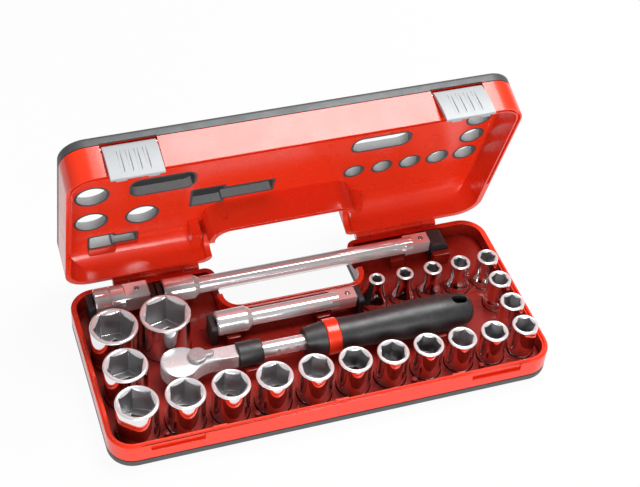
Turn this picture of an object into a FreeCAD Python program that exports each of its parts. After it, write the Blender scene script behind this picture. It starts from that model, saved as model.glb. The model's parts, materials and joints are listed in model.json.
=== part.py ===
import FreeCAD, Part
import math
import os

V = FreeCAD.Vector

# Driving dimensions, in millimetres and degrees.
# The frame: origin under the middle of the base, X along the case, Y towards the hinge, Z up.

# Case mouldings
CASE_LENGTH = 390.0
CASE_DEPTH = 180.0
CASE_CORNER = 22.0
BASE_HEIGHT = 25.4
LID_HEIGHT = 38.6
WALL = 5.0
SKIN = 1.8
SKIN_EDGE_ROUND = 4.0
BASE_SKIN_BAND = 8.0
LID_SKIN_BAND = 9.0
SKIN_GROOVE = 0.8
BASE_FLOOR = 3.2
LID_INSIDE_DEPTH = 28.6
LID_PANEL = 2.4
LID_COVE = 18.0
LID_SIDE_COVE = 3.0
LID_OPEN_DEG = 73.0

# Hand notch in the back of the case, bridged by the long extension bar
NOTCH_HALF_WIDTH = 0.1615 * CASE_LENGTH
NOTCH_DEPTH = 0.2833 * CASE_DEPTH
NOTCH_MOUTH_ROUND = 9.0
NOTCH_ROOT_ROUND = 14.0
BAR_SLOT_CLEAR = 5.0

# Tongue on the base rim and its groove in the lid
TONGUE_INSET = 1.8
TONGUE_WIDTH = 1.6
TONGUE_HEIGHT = 2.2
TONGUE_CLEAR = 0.35
TONGUE_BACK_GAP = 30.0
TAB_WIDTH = 12.0
TAB_RISE = 1.4
TAB_SPACING = 105.0

# Hinge
HINGE_OUT = 4.2
KNUCKLE_RADIUS = 3.6
KNUCKLE_WEB = 7.0
KNUCKLE_GAP = 0.3
LID_KNUCKLE = 14.0
BASE_KNUCKLE = 50.0
HINGE_START = NOTCH_HALF_WIDTH + 12.0
HINGE_PIN_RADIUS = 1.5
PIN_CLEAR = 0.15

# Latches
LATCH_X = 0.359 * CASE_LENGTH
LATCH_WIDTH = 44.0
LATCH_TOP = 51.0
LATCH_BOTTOM = 18.5
LATCH_PLATE = 2.4
LATCH_BULGE = 1.4
LATCH_SINK = 1.5
LATCH_GAP = 0.4
LATCH_SIDE_GAP = 1.4
LATCH_HEADROOM = 1.8
LATCH_BARREL = 2.2
LATCH_PIN_RADIUS = 0.9
LATCH_PIN_DEPTH = 1.9
LATCH_PIN_BITE = 4.0
LATCH_HOOK = 1.7
LATCH_HOOK_HEIGHT = 2.5
LATCH_TAB_WIDTH = 9.0
LATCH_TAB_SPACING = 26.0
LATCH_GROOVES = 4
LATCH_GROOVE_PITCH = 7.0
LATCH_GROOVE_WIDTH = 2.6
LATCH_GROOVE_DEPTH = 0.8
LATCH_REST_DEG = {"left": 6.0, "right": 12.0}

# Tool tray inside the base
TRAY_CLEAR = 0.3
DECK_RISE = 6.5
DECK = 2.2
POCKET_CLEAR = 0.5
POCKET_WALL = 1.6
SADDLE_CLEAR = 0.3
SADDLE_LENGTH = 12.0
SADDLE_SIDE = 2.5
SADDLE_DROP = 7.0
POST_RADIUS = 2.4
POST_RISE = 8.0
POST_SETBACK = 14.5
POST_GAPS = (0, 2, 6, 8)

# Sockets, by their size across the flats
FRONT_ROW = (26, 24, 23, 22, 21, 20, 19, 18, 17, 16, 15)
RIGHT_COLUMN = (15, 14, 13, 12)
BACK_ROW = (12, 11, 10, 9, 8)
LEFT_COLUMN = (26, 27, 30)
LAST_SOCKET = 32
LEFT_X = 27.7 - CASE_LENGTH / 2
RIGHT_X = 0.45 * CASE_LENGTH
FRONT_Y = -0.3417 * CASE_DEPTH
BACK_Y = 0.1278 * CASE_DEPTH
BACK_PITCH = 0.0682 * CASE_LENGTH
COLUMN_GAP_SHARE = 0.152
LAST_SOCKET_GAP = 2.4
LAST_SOCKET_SHIFT = 2.0
SOCKET_OD_SLOPE = 1.22
SOCKET_OD_BASE = 4.5
SOCKET_LENGTH = 38.0
SOCKET_GROWTH = 0.55
SOCKET_GROWS_FROM = 17
DRIVE_END_OD = 23.0
DRIVE_END_LENGTH = 13.0
SOCKET_FLARE_SLOPE = 4.0
SOCKET_EDGE = 0.9
HEX_CLEAR = 0.2
DRIVE_SQUARE = 12.7
DRIVE_CLEAR = 0.2
SQUARE_DEPTH = 16.0
SOCKET_WEB = 2.0
SOCKET_TURN_DEG = 37.0
OPEN_WEB_FROM = 18
WEB_HOLE_SHARE = 0.4

# Extension bars
BAR_END_OD = 22.0
BAR_END_LENGTH = 27.0
BAR_NECK = 5.0
BAR_SHAFT_OD = 15.0
BAR_EDGE = 1.2
TANG_LENGTH = 16.0
TANG_EDGE = 1.0
BALL_RADIUS = 2.3
BALL_PROUD = 0.8
BALL_CLEAR = 0.1
LONG_BAR_LENGTH = 250.0
LONG_BAR_Y = 0.3778 * CASE_DEPTH
LONG_BAR_Z = 28.7
SHORT_BAR_LENGTH = 0.3282 * CASE_LENGTH
SHORT_BAR_X = -0.2026 * CASE_LENGTH
SHORT_BAR_Y = 0.1144 * CASE_DEPTH
SHORT_BAR_Z = 27.6

# Drive adapter
ADAPTER_X = -0.4474 * CASE_LENGTH
ADAPTER_Y = 0.3861 * CASE_DEPTH
ADAPTER_Z = 29.0
ADAPTER_OD = 24.0
ADAPTER_BODY = 27.0
ADAPTER_SQUARE = 19.0
ADAPTER_TANG = 21.0
ADAPTER_GROOVE = 2.5
ADAPTER_BAR_GAP = 12.7

# Elastic pads at the ends of the lying tools
PAD_LENGTH = 5.5
PAD_WIDTH = 20.0
PAD_RISE = 4.0
PAD_GAP = 0.3
PAD_ROUND = 3.0
END_PAD_LENGTH = 17.0
END_PAD_ROUND = 9.0
STOP_LENGTH = 16.0
STOP_WIDTH = 6.0
STOP_HEIGHT = 13.5
HOLDER_WIDTH = 9.0
HOLDER_DEPTH = 18.0
HOLDER_GAP = 1.0
HOLDER_OFF = 3.0
NOTCH_SEAM = 2.5

# Telescopic ratchet
RATCHET_Z = 30.0
HEAD_X = -0.3103 * CASE_LENGTH
HEAD_GAP = 5.7
HEAD_RADIUS = 16.5
HEAD_HALF_HEIGHT = 8.5
HEAD_CROWN_RADIUS = 60.0
NECK_HALF_WIDTH = 7.0
NECK_LENGTH = 53.0
NECK_BLEND = 24.0
HEAD_EDGE = 2.4
NECK_FLAT = 10.6
GEAR_TEETH = 36
GEAR_RADIUS = 10.4
TOOTH_HEIGHT = 0.9
GEAR_HALF_HEIGHT = 5.0
GEAR_CLEAR = 0.4
ANVIL_NECK_RADIUS = 8.2
ANVIL_NECK_CLEAR = 0.2
ANVIL_LENGTH = 15.0
ANVIL_GAP = 0.4
COVER_PLATE = 1.6
PAWL_OFFSET = 15.0
PAWL_RADIUS = 5.8
PAWL_ROOM = 0.6
PAWL_ROCK_DEG = 6.0
PAWL_ROCK_STEPS = 4
LEVER_POST_RADIUS = 2.6
LEVER_DISC_RADIUS = 8.0
LEVER_THICKNESS = 3.4
LEVER_LENGTH = 14.0
LEVER_TIP_RADIUS = 3.2
LEVER_LIFT = 0.3
LEVER_EDGE = 1.0
SHAFT_RADIUS = 7.0
SHAFT_HOLD = 36.0
SHAFT_NOTCHES = 4
SHAFT_NOTCH_PITCH = 8.0
SHAFT_NOTCH_WIDTH = 3.0
SHAFT_NOTCH_DEPTH = 1.2
SHAFT_NOTCH_START = 30.0
COLLAR_LAP = 4.0
COLLAR_LENGTH = 22.0
COLLAR_RADIUS = 11.0
COLLAR_EDGE = 1.6
SLEEVE_START = 56.0
SLEEVE_LENGTH = 18.0
SLEEVE_NOSE_RADIUS = 12.0
RING_LENGTH = 12.0
RING_RADIUS = 16.0
GRIP_END_GAP = 32.5
GRIP_WAIST_RADIUS = 14.8
GRIP_WAIST_SHARE = 0.25
GRIP_SWELL_RADIUS = 17.2
GRIP_SWELL_SHARE = 0.72
GRIP_END_RADIUS = 14.0
GRIP_CROWN = 7.0
GRIP_STROKE = 18.0
SLIDE_CLEAR = 0.3
HANG_HOLE_LENGTH = 14.0
HANG_HOLE_WIDTH = 9.0
HANG_HOLE_INSET = 6.0

# Windows in the lid
LINING = 2.2
WINDOW_FLARE = 3.6
LEFT_WINDOW = 26.0
LEFT_WINDOW_SHIFT = 10.0
SMALL_WINDOW_SHARE = 0.6
SMALL_WINDOW_BASE = 7.0
HEAD_SLOT_ALONG = 14.4
HEAD_SLOT_UP = 8.0
HEAD_SLOT_LENGTH = 54.0
HEAD_SLOT_WIDTH = 23.0
GRIP_SLOT_ALONG = -20.7
GRIP_SLOT_UP = 0.5
GRIP_SLOT_LENGTH = 52.0
GRIP_SLOT_WIDTH = 19.0
SLOT_ROUND = 8.0
BAR_WINDOW_WIDE = 25.0
BAR_WINDOW_NARROW = 16.0
BAR_WINDOW_SHOW = 72.0
ADAPTER_WINDOW_WIDE = 19.0
ADAPTER_WINDOW_NARROW = 12.0
ADAPTER_WINDOW_INSET = 6.8
WINDOW_ROUND = 2.0

# Places that follow from the driving dimensions
FRONT_FACE = -CASE_DEPTH / 2
BACK_FACE = CASE_DEPTH / 2
NOTCH_EDGE = BACK_FACE - NOTCH_DEPTH
FLOOR_TOP = SKIN + BASE_FLOOR
DECK_TOP = FLOOR_TOP + DECK_RISE
CASE_HEIGHT = BASE_HEIGHT + LID_HEIGHT
PANEL_FACE = BASE_HEIGHT + LID_INSIDE_DEPTH
LID_SKIN_EDGE = CASE_HEIGHT - LID_SKIN_BAND
LID_CROWN = CASE_HEIGHT - SKIN
HINGE_Y = BACK_FACE + HINGE_OUT
HINGE_Z = BASE_HEIGHT
HINGE_LENGTH = 2 * LID_KNUCKLE + BASE_KNUCKLE
LATCH_PIVOT_Y = FRONT_FACE + LATCH_PIN_DEPTH
HEAD_TOP = RATCHET_Z + HEAD_HALF_HEIGHT
HEAD_BOTTOM = RATCHET_Z - HEAD_HALF_HEIGHT
LONG_BAR_X = ADAPTER_X + ADAPTER_BODY + ADAPTER_TANG + ADAPTER_BAR_GAP
LEVER_X = HEAD_X + PAWL_OFFSET
NECK_END_X = HEAD_X + NECK_LENGTH
COLLAR_X = NECK_END_X - COLLAR_LAP
SLEEVE_X = NECK_END_X + SLEEVE_START
RING_X = SLEEVE_X + SLEEVE_LENGTH
GRIP_X = RING_X + RING_LENGTH
GRIP_END_X = RIGHT_X - GRIP_END_GAP
GRIP_LENGTH = GRIP_END_X - GRIP_X
GRIP_WAIST_AT = GRIP_WAIST_SHARE * GRIP_LENGTH
GRIP_SWELL_AT = GRIP_SWELL_SHARE * GRIP_LENGTH
GRIP_SWELL_X = GRIP_X + GRIP_SWELL_AT
SHAFT_END_X = GRIP_X + GRIP_STROKE + SHAFT_HOLD
BEYOND = 2 * CASE_LENGTH
SMALLEST_ROUND = 1.0
TOUCH = 1e-6


def prism(face, bottom, top):
    """A flat face in the XY plane, raised between two heights."""
    solid = face.extrude(V(0, 0, top - bottom))
    solid.translate(V(0, 0, bottom))
    return solid


def rounded_face(corners, radii):
    """A polygon with tangent arcs at its corners, as a face in the XY plane."""
    edges = []
    ends = []
    count = len(corners)
    for i in range(count):
        corner = V(*corners[i], 0)
        before = V(*corners[i - 1], 0) - corner
        after = V(*corners[(i + 1) % count], 0) - corner
        half = before.getAngle(after) / 2
        reach = radii[i] / math.tan(half)
        before.normalize()
        after.normalize()
        start = corner + before * reach
        finish = corner + after * reach
        middle = before + after
        middle.normalize()
        crown = corner + middle * (radii[i] / math.sin(half) - radii[i])
        edges.append(Part.Arc(start, crown, finish).toShape())
        ends.append((start, finish))
    for i in range(count):
        start = ends[i][1]
        finish = ends[(i + 1) % count][0]
        if start.distanceToPoint(finish) > TOUCH:
            edges.append(Part.LineSegment(start, finish).toShape())
    return Part.Face(Part.Wire(Part.sortEdges(edges)[0]))


def rounded_rectangle(x, y, length, width, radius):
    """A rounded rectangle about a centre."""
    corners = [(x - length / 2, y - width / 2), (x + length / 2, y - width / 2),
               (x + length / 2, y + width / 2), (x - length / 2, y + width / 2)]
    return rounded_face(corners, [min(radius, width / 2)] * 4)


def stepped_face(x, wide_end, x_end, y, wide, narrow, radius):
    """The outline of a tool with a thick end on the left and a thin one on the right."""
    half_wide = wide / 2
    half_narrow = narrow / 2
    corners = [(x, y - half_wide), (wide_end, y - half_wide),
               (wide_end, y - half_narrow), (x_end, y - half_narrow),
               (x_end, y + half_narrow), (wide_end, y + half_narrow),
               (wide_end, y + half_wide), (x, y + half_wide)]
    return rounded_face(corners, [radius] * 8)


def footprint(inset, bottom, top):
    """The outline of the case with its hand notch, drawn in by an inset and raised."""
    x = CASE_LENGTH / 2 - inset
    y = CASE_DEPTH / 2 - inset
    notch_x = NOTCH_HALF_WIDTH + inset
    notch_y = NOTCH_EDGE - inset
    outer = max(CASE_CORNER - inset, SMALLEST_ROUND)
    mouth = max(NOTCH_MOUTH_ROUND - inset, SMALLEST_ROUND)
    root = NOTCH_ROOT_ROUND + inset
    corners = [(-x, -y), (x, -y), (x, y), (notch_x, y),
               (notch_x, notch_y), (-notch_x, notch_y), (-notch_x, y), (-x, y)]
    radii = [outer, outer, outer, mouth, root, root, mouth, outer]
    return prism(rounded_face(corners, radii), bottom, top)


def box(x0, x1, y0, y1, z0, z1):
    """A box between two corners."""
    return Part.makeBox(x1 - x0, y1 - y0, z1 - z0, V(x0, y0, z0))


def rod(radius, x0, x1, y, z):
    """A cylinder along X."""
    return Part.makeCylinder(radius, x1 - x0, V(x0, y, z), V(1, 0, 0))


def post(radius, x, y, z0, z1):
    """A cylinder along Z."""
    return Part.makeCylinder(radius, z1 - z0, V(x, y, z0))


def turned(profile):
    """A solid of revolution about Z from points of radius and height."""
    points = [V(r, 0, h) for r, h in profile]
    face = Part.Face(Part.makePolygon(points + points[:1]))
    return face.revolve(V(0, 0, 0), V(0, 0, 1), 360)


def laid(solid, x, y, z):
    """A solid made along Z, laid down along X with its foot at a point."""
    solid.rotate(V(0, 0, 0), V(0, 1, 0), 90)
    solid.translate(V(x, y, z))
    return solid


def polygon_prism(across, sides, bottom, top):
    """A prism with a regular polygon for its section, by its size across flats."""
    radius = across / 2 / math.cos(math.pi / sides)
    points = []
    for i in range(sides):
        angle = 2 * math.pi * (i + 0.5) / sides
        points.append(V(radius * math.cos(angle), radius * math.sin(angle), 0))
    return prism(Part.Face(Part.makePolygon(points + points[:1])), bottom, top)


def joined(solids):
    """Overlapping solids as one, with the seams between their faces taken out."""
    first = solids[0]
    return first.multiFuse(solids[1:]).removeSplitter()


def bottom_edges(solid, height):
    """The edges that lie in one level plane."""
    def level(edge):
        return abs(edge.BoundBox.ZMin - height) + abs(edge.BoundBox.ZMax - height) < TOUCH
    return [edge for edge in solid.Edges if level(edge)]


# Socket sizes and places

def socket_radius(size):
    return (SOCKET_OD_SLOPE * size + SOCKET_OD_BASE) / 2


def socket_length(size):
    return SOCKET_LENGTH + SOCKET_GROWTH * max(size - SOCKET_GROWS_FROM, 0)


def drive_end_radius(size):
    return max(socket_radius(size), DRIVE_END_OD / 2)


def row_length(sizes):
    """The length of a row of touching sockets, from the first axis to the last."""
    return sum(2 * socket_radius(s) for s in sizes) - socket_radius(sizes[0]) - socket_radius(sizes[-1])


def row(sizes, start, gap):
    """Places along a line with the same gap between neighbouring sockets."""
    places = [start]
    for near, far in zip(sizes, sizes[1:]):
        places.append(places[-1] + socket_radius(near) + gap + socket_radius(far))
    return places


def front_row():
    """Places along X of the sockets by the front wall, from the left column to the right one."""
    gap = (RIGHT_X - LEFT_X - row_length(FRONT_ROW)) / (len(FRONT_ROW) - 1)
    return row(FRONT_ROW, LEFT_X, gap)


def left_column():
    """Places along Y of the sockets on the left, with the rest of the room left before the adapter."""
    room = ADAPTER_Y - ADAPTER_OD / 2 - FRONT_Y
    spare = room - row_length(LEFT_COLUMN) - socket_radius(LEFT_COLUMN[-1])
    return row(LEFT_COLUMN, FRONT_Y, COLUMN_GAP_SHARE * spare)


def socket_places():
    """Each socket's size and the place of its axis on the tray."""
    places = {}
    for size, x in zip(FRONT_ROW, front_row()):
        places[size] = (x, FRONT_Y)
    pitch = (BACK_Y - FRONT_Y) / (len(RIGHT_COLUMN) - 1)
    for i, size in enumerate(RIGHT_COLUMN):
        places[size] = (RIGHT_X, FRONT_Y + i * pitch)
    for i, size in enumerate(BACK_ROW):
        places[size] = (RIGHT_X - i * BACK_PITCH, BACK_Y)
    for size, y in zip(LEFT_COLUMN, left_column()):
        places[size] = (LEFT_X, y)
    beside = socket_radius(LEFT_COLUMN[-1]) + LAST_SOCKET_GAP + socket_radius(LAST_SOCKET)
    places[LAST_SOCKET] = (LEFT_X + beside, places[LEFT_COLUMN[-1]][1] + LAST_SOCKET_SHIFT)
    return places


PLACES = socket_places()
RATCHET_Y = PLACES[LAST_SOCKET][1] - socket_radius(LAST_SOCKET) - HEAD_RADIUS - HEAD_GAP


def flare(foot, nose):
    """The hollow curve from a wide drive end up to a slim nose, as an arc, or none on a wide socket."""
    step = foot - nose
    if step < TOUCH:
        return []
    rise = SOCKET_FLARE_SLOPE * step
    radius = (step ** 2 + rise ** 2) / (2 * step)
    sweep = math.asin(rise / radius) / 2
    top = DRIVE_END_LENGTH + rise
    waist = V(nose + radius - radius * math.cos(sweep), 0, top - radius * math.sin(sweep))
    return [Part.Arc(V(foot, 0, DRIVE_END_LENGTH), waist, V(nose, 0, top)).toShape()]


def socket_body(size):
    """The turned outside of a socket, solid inside."""
    nose = socket_radius(size)
    foot = drive_end_radius(size)
    top = socket_length(size)
    curve = flare(foot, nose)
    start = curve[0].Vertexes[-1].Point if curve else V(foot, 0, SOCKET_EDGE)
    below = [V(0, 0, 0), V(foot - SOCKET_EDGE, 0, 0), V(foot, 0, SOCKET_EDGE)]
    if curve:
        below.append(V(foot, 0, DRIVE_END_LENGTH))
    above = [start, V(nose, 0, top - SOCKET_EDGE), V(nose - SOCKET_EDGE, 0, top), V(0, 0, top), V(0, 0, 0)]
    edges = [Part.LineSegment(a, b).toShape() for a, b in zip(below, below[1:])]
    edges += curve
    edges += [Part.LineSegment(a, b).toShape() for a, b in zip(above, above[1:])]
    return Part.Face(Part.Wire(edges)).revolve(V(0, 0, 0), V(0, 0, 1), 360)


def socket(size):
    """A six-point socket standing on its drive end, turned as it was dropped in its pocket."""
    top = socket_length(size)
    floor = SQUARE_DEPTH + SOCKET_WEB
    square = DRIVE_SQUARE + DRIVE_CLEAR
    across = size + HEX_CLEAR
    corner = across / math.sqrt(3)
    mouth = corner - across / 2 + SOCKET_EDGE / 2
    cuts = [polygon_prism(across, 6, floor, top)]
    cuts.append(polygon_prism(square, 4, 0, SQUARE_DEPTH))
    cuts.append(Part.makeCone(across / 2, across / 2 + mouth, mouth, V(0, 0, top - mouth)))
    if size < OPEN_WEB_FROM:
        cuts.append(post(WEB_HOLE_SHARE * size, 0, 0, SQUARE_DEPTH, floor))
    else:
        cuts.append(polygon_prism(square, 4, SQUARE_DEPTH, floor))
    solid = socket_body(size).cut(cuts)
    solid.rotate(V(0, 0, 0), V(0, 0, 1), SOCKET_TURN_DEG * size)
    solid.translate(V(*PLACES[size], FLOOR_TOP))
    return solid


# Case base

def base_skin():
    """The grey pan under the base, with a rounded lower edge."""
    pan = footprint(0, 0, BASE_SKIN_BAND)
    pan = pan.makeFillet(SKIN_EDGE_ROUND, bottom_edges(pan, 0))
    return pan.cut(footprint(SKIN, SKIN, BASE_SKIN_BAND))


def hinge_barrel(side, start, length):
    """One knuckle's barrel, on the left or right."""
    x0 = min(side * start, side * (start + length))
    return rod(KNUCKLE_RADIUS, x0, x0 + length, HINGE_Y, HINGE_Z)


def hinge_web(side, start, length, z0, z1):
    """The web between a knuckle and the back wall."""
    x0 = min(side * start, side * (start + length))
    return box(x0, x0 + length, BACK_FACE - WALL / 2, HINGE_Y, z0, z1)


def hinge_bore(side, radius):
    """The line of the hinge pin."""
    x0 = min(side * HINGE_START, side * (HINGE_START + HINGE_LENGTH))
    return rod(radius, x0, x0 + HINGE_LENGTH, HINGE_Y, HINGE_Z)


def bar_slot():
    """The room that the long bar takes where it crosses the walls of the hand notch."""
    radius = BAR_SHAFT_OD / 2 + BAR_SLOT_CLEAR
    reach = NOTCH_HALF_WIDTH + 2 * WALL
    return rod(radius, -reach, reach, LONG_BAR_Y, LONG_BAR_Z)


def tongue_ring(width, inset, bottom, top):
    """A ridge that follows the front and the sides of the rim."""
    ring = footprint(inset, bottom, top).cut(footprint(inset + width, bottom, top))
    front = box(-BEYOND, BEYOND, -BEYOND, BACK_FACE - CASE_CORNER - TONGUE_BACK_GAP, bottom, top)
    return ring.common(front)


def lip_tabs(grow, bottom, top):
    """The guide tabs on the front tongue."""
    tabs = []
    y0 = FRONT_FACE + TONGUE_INSET - grow
    for i in (-1, 0, 1):
        x = i * TAB_SPACING
        tabs.append(box(x - TAB_WIDTH / 2 - grow, x + TAB_WIDTH / 2 + grow,
                        y0, y0 + TONGUE_WIDTH + 2 * grow, bottom, top))
    return tabs


def base_shell():
    """The red base moulding: floor, double wall, rim tongue, hinge knuckles and latch catches."""
    low = footprint(SKIN, SKIN, BASE_SKIN_BAND + SKIN_GROOVE)
    high = footprint(0, BASE_SKIN_BAND + SKIN_GROOVE, BASE_HEIGHT)
    ridge = tongue_ring(TONGUE_WIDTH, TONGUE_INSET, BASE_HEIGHT - WALL, BASE_HEIGHT + TONGUE_HEIGHT)
    solids = [low, high, ridge]
    solids += lip_tabs(0, BASE_HEIGHT - WALL, BASE_HEIGHT + TONGUE_HEIGHT + TAB_RISE)
    for side in (-1, 1):
        start = HINGE_START + LID_KNUCKLE + KNUCKLE_GAP
        length = BASE_KNUCKLE - 2 * KNUCKLE_GAP
        solids.append(hinge_barrel(side, start, length))
        solids.append(hinge_web(side, start, length, HINGE_Z - KNUCKLE_WEB, HINGE_Z))
    shell = joined(solids)
    inside = footprint(WALL, FLOOR_TOP, BASE_HEIGHT + BEYOND)
    cuts = [inside, bar_slot(), hinge_bore(-1, HINGE_PIN_RADIUS), hinge_bore(1, HINGE_PIN_RADIUS)]
    catch_low = LATCH_BOTTOM - LATCH_GAP
    catch_high = LATCH_BOTTOM + LATCH_HOOK_HEIGHT + LATCH_GAP
    for side in (-1, 1):
        half = LATCH_WIDTH / 2 + LATCH_GAP
        x0 = side * LATCH_X - half
        x1 = side * LATCH_X + half
        cuts.append(box(x0, x1, FRONT_FACE, FRONT_FACE + LATCH_SINK, catch_low, BASE_HEIGHT))
        depth = LATCH_SINK + LATCH_HOOK + LATCH_GAP
        cuts.append(box(x0, x1, FRONT_FACE, FRONT_FACE + depth, catch_low, catch_high))
    return shell.cut(cuts)


def hinge_pin(side):
    """A hinge pin, tight in the base knuckle and free in the lid's."""
    return hinge_bore(side, HINGE_PIN_RADIUS)


# Tool tray

def saddle(x, y, z, radius):
    """A cradle that carries a lying tool, cut to the tool's radius."""
    half = radius + SADDLE_SIDE
    block = box(x - SADDLE_LENGTH / 2, x + SADDLE_LENGTH / 2, y - half, y + half,
                DECK_TOP, z - SADDLE_DROP)
    block = block.cut(rod(radius + SADDLE_CLEAR, x - SADDLE_LENGTH, x + SADDLE_LENGTH, y, z))
    return block.common(footprint(WALL + TRAY_CLEAR, DECK_TOP, CASE_HEIGHT))


def tool_tray():
    """The red inner tray: a deck on pocket walls."""
    edge = WALL + TRAY_CLEAR
    solids = [footprint(edge, DECK_TOP - DECK, DECK_TOP)]
    holes = []
    for size, (x, y) in PLACES.items():
        bore = drive_end_radius(size) + POCKET_CLEAR
        solids.append(post(bore + POCKET_WALL, x, y, FLOOR_TOP, DECK_TOP - DECK / 2))
        holes.append(post(bore, x, y, FLOOR_TOP, DECK_TOP))
    anvil_bore = DRIVE_SQUARE / math.sqrt(2) + 2 * POCKET_CLEAR
    holes.append(post(anvil_bore, HEAD_X, RATCHET_Y, FLOOR_TOP, DECK_TOP))
    tray = joined(solids)
    return tray.common(footprint(edge, FLOOR_TOP, CASE_HEIGHT)).cut(holes)


def tool_cradles():
    """The cradles under the lying tools and the posts between the front sockets."""
    bar_end = BAR_END_OD / 2
    shaft = BAR_SHAFT_OD / 2
    end_middle = BAR_END_LENGTH / 2
    tang_side = 2 * TANG_LENGTH
    solids = [saddle(LONG_BAR_X + end_middle, LONG_BAR_Y, LONG_BAR_Z, bar_end)]
    solids.append(saddle(LONG_BAR_X + LONG_BAR_LENGTH - tang_side, LONG_BAR_Y, LONG_BAR_Z, shaft))
    solids.append(saddle(SHORT_BAR_X + end_middle, SHORT_BAR_Y, SHORT_BAR_Z, bar_end))
    solids.append(saddle(SHORT_BAR_X + SHORT_BAR_LENGTH - tang_side, SHORT_BAR_Y, SHORT_BAR_Z, shaft))
    solids.append(saddle(ADAPTER_X + ADAPTER_BODY / 2, ADAPTER_Y, ADAPTER_Z, ADAPTER_OD / 2))
    solids.append(saddle(COLLAR_X + COLLAR_LENGTH / 2, RATCHET_Y, RATCHET_Z, COLLAR_RADIUS))
    solids.append(saddle(GRIP_SWELL_X, RATCHET_Y, RATCHET_Z, GRIP_SWELL_RADIUS))
    stop_x = LONG_BAR_X + LONG_BAR_LENGTH + PAD_GAP
    stop_y = LONG_BAR_Y - PAD_WIDTH / 2 - PAD_GAP
    solids.append(box(stop_x, stop_x + STOP_LENGTH, stop_y - STOP_WIDTH, stop_y,
                      DECK_TOP, DECK_TOP + STOP_HEIGHT))
    places = front_row()
    for i in POST_GAPS:
        near = places[i] + socket_radius(FRONT_ROW[i])
        far = places[i + 1] - socket_radius(FRONT_ROW[i + 1])
        x = (near + far) / 2
        solids.append(post(POST_RADIUS, x, FRONT_Y - POST_SETBACK, DECK_TOP, DECK_TOP + POST_RISE))
    return Part.makeCompound(solids)


def wide_pad(x, y, z):
    """The longer pad at the long bar's square end, which falls away in a curve."""
    block = box(x, x + END_PAD_LENGTH, y - PAD_WIDTH / 2, y + PAD_WIDTH / 2, DECK_TOP, z + PAD_RISE)
    end = x + END_PAD_LENGTH
    far = [e for e in bottom_edges(block, z + PAD_RISE) if abs(e.BoundBox.XMin - end) < TOUCH]
    return block.makeFillet(END_PAD_ROUND, far)


def pad(x, y, z):
    """One elastic pad standing on the deck, with a rounded top."""
    block = box(x, x + PAD_LENGTH, y - PAD_WIDTH / 2, y + PAD_WIDTH / 2, DECK_TOP, z + PAD_RISE)
    edges = [e for e in bottom_edges(block, z + PAD_RISE) if e.BoundBox.YLength < TOUCH]
    return block.makeFillet(PAD_ROUND, edges)


def end_pads(x, length, y, z, last_pad):
    """The pads at both ends of a lying tool."""
    left = pad(x - PAD_GAP - PAD_LENGTH, y, z)
    right = last_pad(x + length + PAD_GAP, y, z)
    return Part.makeCompound([left, right])


# Lid, drawn closed and then swung open

def round_window(x, y, radius):
    """A round window about a socket."""
    return Part.Face(Part.Wire(Part.Circle(V(x, y, 0), V(0, 0, 1), radius).toShape()))


def open_windows(grow):
    """The outlines of the lid's flared windows, grown by the room for their linings."""
    faces = []
    for size in LEFT_COLUMN[1:] + (LAST_SOCKET,):
        x, y = PLACES[size]
        faces.append(round_window(x, y + LEFT_WINDOW_SHIFT, LEFT_WINDOW / 2 + grow))
    for size in BACK_ROW + RIGHT_COLUMN[1:3]:
        radius = (2 * SMALL_WINDOW_SHARE * socket_radius(size) + SMALL_WINDOW_BASE) / 2
        faces.append(round_window(*PLACES[size], radius + grow))
    faces.append(rounded_rectangle(GRIP_SWELL_X + GRIP_SLOT_ALONG, RATCHET_Y + GRIP_SLOT_UP,
                                   GRIP_SLOT_LENGTH + 2 * grow, GRIP_SLOT_WIDTH + 2 * grow,
                                   SLOT_ROUND + grow))
    return faces


def adapter_window(grow):
    """The outline of the see-through window over the adapter, grown by the room for its lining."""
    return stepped_face(ADAPTER_X + ADAPTER_WINDOW_INSET - grow, ADAPTER_X + ADAPTER_BODY + grow,
                        ADAPTER_X + ADAPTER_BODY + ADAPTER_TANG + grow, ADAPTER_Y,
                        ADAPTER_WINDOW_WIDE + 2 * grow, ADAPTER_WINDOW_NARROW + 2 * grow,
                        WINDOW_ROUND)


def blind_windows(grow):
    """The outlines of the lid's two blind recesses, grown by the room for their linings."""
    slot = rounded_rectangle(HEAD_X + HEAD_SLOT_ALONG, RATCHET_Y + HEAD_SLOT_UP,
                             HEAD_SLOT_LENGTH + 2 * grow, HEAD_SLOT_WIDTH + 2 * grow, SLOT_ROUND + grow)
    bar = stepped_face(SHORT_BAR_X - grow, SHORT_BAR_X + BAR_END_LENGTH + grow,
                       SHORT_BAR_X + BAR_WINDOW_SHOW + grow, SHORT_BAR_Y,
                       BAR_WINDOW_WIDE + 2 * grow, BAR_WINDOW_NARROW + 2 * grow, WINDOW_ROUND)
    return [slot, bar]


def flared_windows(grow):
    """The windows that widen from the inner panel to the outer skin, as solids."""
    solids = []
    for near, far in zip(open_windows(grow), open_windows(grow + WINDOW_FLARE)):
        foot = near.OuterWire
        foot.translate(V(0, 0, PANEL_FACE))
        crown = far.OuterWire
        crown.translate(V(0, 0, CASE_HEIGHT))
        solids.append(Part.makeLoft([foot, crown], True, True))
    return solids


def latch_recess(side):
    """The recess for a latch in the front of the lid, with a deeper bed for its barrel."""
    half = LATCH_WIDTH / 2 + LATCH_SIDE_GAP
    x0 = side * LATCH_X - half
    x1 = side * LATCH_X + half
    bed = LATCH_BARREL + 2 * LATCH_GAP
    depth = LATCH_PIN_DEPTH + LATCH_BARREL + LATCH_GAP
    top = LATCH_TOP + bed + LATCH_HEADROOM
    shallow = box(x0, x1, FRONT_FACE, FRONT_FACE + LATCH_SINK, BASE_HEIGHT, top)
    deep = box(x0, x1, FRONT_FACE, FRONT_FACE + depth, LATCH_TOP - bed, top)
    return shallow.fuse(deep)


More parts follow.
